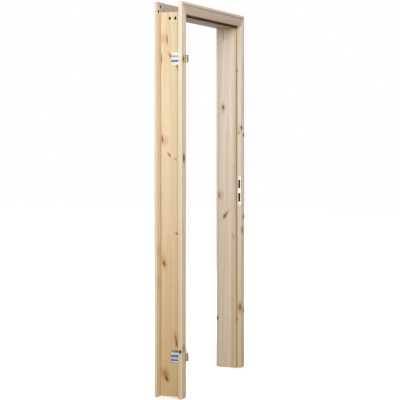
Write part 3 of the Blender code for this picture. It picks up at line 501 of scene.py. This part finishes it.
# Hinges
# Pressed and galvanised receivers with their backing plates, screwed to the lining's wall side.
# The machined knuckles with their lugs reach through the casing, and a ground pin stands in each.
# The two receivers wear lit and shaded copies of one zinc, with painted shade in their grooves,
# and each knuckle's front side is painted dark as painted shade.


def metal(name, color, roughness, change, scale, shade_bands=()):
    """A metal with a fine mottle in its colour and gloss.

    shade_bands are painted shade in pressed grooves: the height where each ends, below and
    above, and its colour.
    """
    gloss_change, band_edge = 0.12, 0.0012
    finish = Finish(name, metallic=1.0)
    x, y, z = finish.place()
    mottle = finish.noise(x * scale, y * scale, z * scale, 3.0).rise(0.3, 0.7)
    darker = tuple(channel * (1 - change) for channel in color)
    shade = finish.mix(mottle, color, darker)
    for low, high, shade_color in shade_bands:
        above = z.rise(low - band_edge, low + band_edge)
        below = z.rise(high + band_edge, high - band_edge)
        shade = finish.mix(above * below, shade, shade_color)
    finish.paint(shade, mottle * gloss_change + (roughness - gloss_change / 2))
    return finish


def receiver_bands(height, shade_bands):
    """Bands about one receiver's middle height: each from and to in mm, with its colour."""
    return [((height + low) / 1000, (height + high) / 1000, color) for low, high, color in shade_bands]


upper_height, lower_height = 1764, 212.5
LAVENDER = seen(186, 180, 198)
# Painted shade: the receivers' bands are the shade in their pressed grooves, and the brown band
# above the lower receiver is a painted shadow.
upper_shade_bands = receiver_bands(upper_height, [
    (7, 19, LAVENDER), (-10, -4, LAVENDER), (-17.5, -10, seen(98, 96, 104))])
lower_shade_bands = receiver_bands(lower_height, [
    (24, 31, seen(84, 64, 46)), (-2, 5.5, seen(64, 64, 70)), (-22, -15, seen(36, 36, 40))])
# Painted light and shade: lit and shaded copies of one galvanised zinc, the lower one darker and
# bluer.
lit_upper_zinc = metal("galvanised_upper_lit", seen(236, 236, 238), 0.36, 0.12, 260.0, upper_shade_bands)
shaded_lower_zinc = metal("galvanised_lower_shaded", seen(162, 172, 188), 0.36, 0.25, 260.0, lower_shade_bands)
machined = Finish("machined_steel", metallic=1.0)
x, y, z = machined.place()
turning = machined.noise(x * 90.0, y * 90.0, z * 2600.0)
# Painted shade: each knuckle's front side is painted dark olive.
shaded_front_side = y.rise(back(-11), back(-14))
olive = machined.mix(turning, seen(172, 170, 148), seen(150, 148, 126))
machined.paint(machined.mix(shaded_front_side, olive, seen(78, 86, 76)), turning * 0.1 + 0.4)
ground = metal("ground_pin", seen(224, 224, 226), 0.22, 0.1, 700.0)
zinc = metal("zinc_screw", seen(196, 196, 190), 0.32, 0.2, 500.0)
for hinge, plate in (("hinge_upper_", lit_upper_zinc), ("hinge_lower_", shaded_lower_zinc)):
    plate.wear(nodes[hinge + "receiver"], nodes[hinge + "backing_plate"])
    machined.wear(nodes[hinge + "knuckle"])
    ground.wear(nodes[hinge + "pin"])
    zinc.wear(nodes[hinge + "clamp_screw_1"], nodes[hinge + "clamp_screw_2"])

# Corner screws and mitre connectors
# Black screws at 45 degrees that join the lining's corners, and black drums with a zinc plated
# bolt that draw each mitre of the casings together.
black = metal("black_zinc", seen(18, 15, 13), 0.7, 0.3, 400.0)
for name, node in nodes.items():
    if name.startswith(("corner_screw", "mitre_drum")):
        black.wear(node)
    elif name.startswith("mitre_bolt"):
        zinc.wear(node)

# Strike plate
# A satin steel plate let into the casing, with slots for the lock's latch and bolt. Each slot is
# a little smaller than the mortise behind it, and its cut walls are painted dark as painted shade.
satin = Finish("strike_steel", metallic=1.0)
x, y, z = satin.place()
brushed = satin.noise(x * 200.0, y * 200.0, z * 2400.0)
plate_color = satin.mix(brushed, seen(248, 244, 234), seen(238, 232, 220))
# Painted shade on the slots' cut walls.
across_slot = (y - plate_middle).math("ABSOLUTE").rise(0.0061, 0.0059)
slot_inset = 2.0
for height, half_height in mortises:
    slot_half = (half_height - slot_inset) / 1000
    from_middle = (z - height / 1000).math("ABSOLUTE")
    along_slot = from_middle.rise(slot_half + 0.0003, slot_half + 0.0001)
    plate_color = satin.mix(across_slot * along_slot, plate_color, HOLE_SHADE)
satin.paint(plate_color, brushed * 0.1 + 0.3)
satin.wear(nodes["strike_plate"])

# Wood screws
# Zinc plated screws with a cross recess, a rolled thread and a point. Pan heads hold the hinge
# receivers, and countersunk heads lie flush in the strike plate. All run along X into the wood.


def only(kind, geometry):
    """The vertices or edges in what an extrusion gives back."""
    return [item for item in geometry if isinstance(item, kind)]


def wood_screw(name, head, core, crest, pitch=1.6):
    """A screw in the place of a node. Sizes are in mm, and head has a radius and depth a ring."""
    arm, half_slot, recess_depth, recess_taper = 1.7, 0.4, 1.3, 0.5
    turn_steps, point_radius = 16, 0.05
    head_radius, head_end = head[0][0], head[-1][1]
    low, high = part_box(name)
    length = (high.x - low.x) * 1000
    shape = bmesh.new()
    bmesh.ops.create_circle(shape, segments=28, radius=head_radius)
    rim = list(shape.edges)
    quarter = [(arm, -half_slot), (arm, half_slot), (half_slot, half_slot)]
    outline = []
    for _ in range(4):
        outline += quarter
        quarter = [(-along, across) for across, along in quarter]
    corners = [shape.verts.new((across, along, 0)) for across, along in outline]
    cross = [shape.edges.new((corners[index - 1], corner)) for index, corner in enumerate(corners)]
    bmesh.ops.triangle_fill(shape, edges=rim + cross, use_beauty=True)
    walls = bmesh.ops.extrude_edge_only(shape, edges=cross)["geom"]
    for vert in only(bmesh.types.BMVert, walls):
        vert.co = (vert.co.x * recess_taper, vert.co.y * recess_taper, recess_depth)
    bmesh.ops.triangle_fill(shape, edges=only(bmesh.types.BMEdge, walls), use_beauty=True)
    neck_end = head_end + 2 * pitch
    previous = head_radius
    for radius, depth in head[1:] + [(core, head_end), (core, neck_end)]:
        grown = bmesh.ops.extrude_edge_only(shape, edges=rim)["geom"]
        rim = only(bmesh.types.BMEdge, grown)
        ratio = radius / previous
        for vert in only(bmesh.types.BMVert, grown):
            vert.co = (vert.co.x * ratio, vert.co.y * ratio, depth)
        previous = radius
    turns = int((length - neck_end - 2 * crest) / pitch)
    flank = [shape.verts.new((radius, 0, neck_end - pitch + rise * pitch))
             for radius, rise in ((core, 0), (crest, 0.45), (core, 0.9), (core, 1))]
    ridge = [shape.edges.new((flank[index], flank[index + 1])) for index in range(3)]
    bmesh.ops.spin(shape, geom=flank + ridge, axis=(0, 0, 1), cent=(0, 0, 0),
                   dvec=(0, 0, pitch / turn_steps), angle=math.tau * turns,
                   steps=turn_steps * turns)
    point_start = neck_end + (turns - 1) * pitch
    to_point = Matrix.Translation((0, 0, (point_start + length) / 2))
    bmesh.ops.create_cone(shape, segments=16, radius1=core, radius2=point_radius,
                          depth=length - point_start, matrix=to_point)
    bmesh.ops.remove_doubles(shape, verts=shape.verts, dist=0.001)
    bmesh.ops.recalc_face_normals(shape, faces=shape.faces)
    middle = (low + high) / 2
    into_wood = (Matrix.Translation((low.x, middle.y, middle.z))
                 @ Matrix.Rotation(math.radians(90), 4, "Y") @ Matrix.Scale(0.001, 4))
    bmesh.ops.transform(shape, matrix=into_wood, verts=shape.verts)
    mesh = bpy.data.meshes.new(name + "_threaded")
    shape.to_mesh(mesh)
    shape.free()
    screw = bpy.data.objects.new(name + "_threaded", mesh)
    bpy.context.scene.collection.objects.link(screw)
    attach(screw, "lining")
    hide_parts(name)
    zinc.wear(screw)


PAN_HEAD = [(2.5, 0), (3.2, 0.25), (3.6, 0.8), (3.6, 1.6)]
COUNTERSUNK_HEAD = [(3.9, 0), (4.0, 0.1), (2.0, 2.0)]
for hinge in ("hinge_upper_", "hinge_lower_"):
    for number in range(1, 5):
        wood_screw("%sfixing_screw_%d" % (hinge, number), PAN_HEAD, 1.2, 1.75)
for number in (1, 2):
    wood_screw("strike_screw_%d" % number, COUNTERSUNK_HEAD, 1.35, 2.0)

# Floor, white room and lamps
# A wide pale floor that the camera and the metal see white, with the frame's soft shadow on it.
# The room round it is white as well, and soft lamps stand left, in front, right and behind.
floor_mesh = bpy.data.meshes.new("floor")
floor_shape = bmesh.new()
bmesh.ops.create_grid(floor_shape, x_segments=1, y_segments=1, size=14.0)
floor_shape.to_mesh(floor_mesh)
floor_shape.free()
floor = bpy.data.objects.new("floor", floor_mesh)
bpy.context.scene.collection.objects.link(floor)


def looked_at(owner):
    """1 where the camera sees a surface straight, mirrored or through glass, and 0 for light."""
    rays = owner.node("ShaderNodeLightPath").outputs
    straight, mirrored, clear = (Wire(owner, rays[ray]) for ray in
                                 ("Is Camera Ray", "Is Glossy Ray", "Is Transmission Ray"))
    return straight.math("MAXIMUM", mirrored).math("MAXIMUM", clear)


white_floor = Finish("floor_white")
floor_looked_at = looked_at(white_floor)
floor_tone = white_floor.mix(floor_looked_at, (0.14, 0.14, 0.14), (0.93, 0.93, 0.93))
white_floor.paint(floor_tone, 0.9)
x, y, z = white_floor.place()
distance = (x * x + y * y).math("SQRT")
lift = floor_looked_at * (distance.rise(0.5, 1.6) * 0.55 + 0.22)
lift_color = white_floor.mix(lift, (0.0, 0.0, 0.0), (1.0, 1.0, 1.0))
white_floor.feed(white_floor.shader.inputs["Emission Color"], lift_color)
white_floor.shader.inputs["Emission Strength"].default_value = 1.0
white_floor.wear(floor)

world = bpy.data.worlds.new("white_room")
world.use_nodes = True
bpy.context.scene.world = world
room = Nodes(world.node_tree)
room_light = 0.24
background = room.tree.nodes["Background"].inputs
room.feed(background["Color"], (1.0, 1.0, 1.0))
room.feed(background["Strength"], looked_at(room) * (1.0 - room_light) + room_light)


def lamp(name, place, size, power):
    """A soft square lamp that looks from its place a little above the frame's middle."""
    target = Vector((0, 0, 1.2))
    data = bpy.data.lights.new(name, "AREA")
    data.size = size
    data.energy = power
    light = bpy.data.objects.new(name, data)
    light.location = place
    light.rotation_euler = (target - Vector(place)).to_track_quat("-Z", "Y").to_euler()
    bpy.context.scene.collection.objects.link(light)


lamp("key", (-4.8, -1.5, 2.8), 2.4, 224)
lamp("front_fill", (-1.6, -5.0, 2.6), 2.6, 80)
lamp("right_fill", (4.6, 0.6, 3.0), 2.4, 110)
lamp("rear_fill", (1.2, 4.6, 3.4), 2.4, 190)

bpy.context.scene.view_settings.view_transform = "Standard"
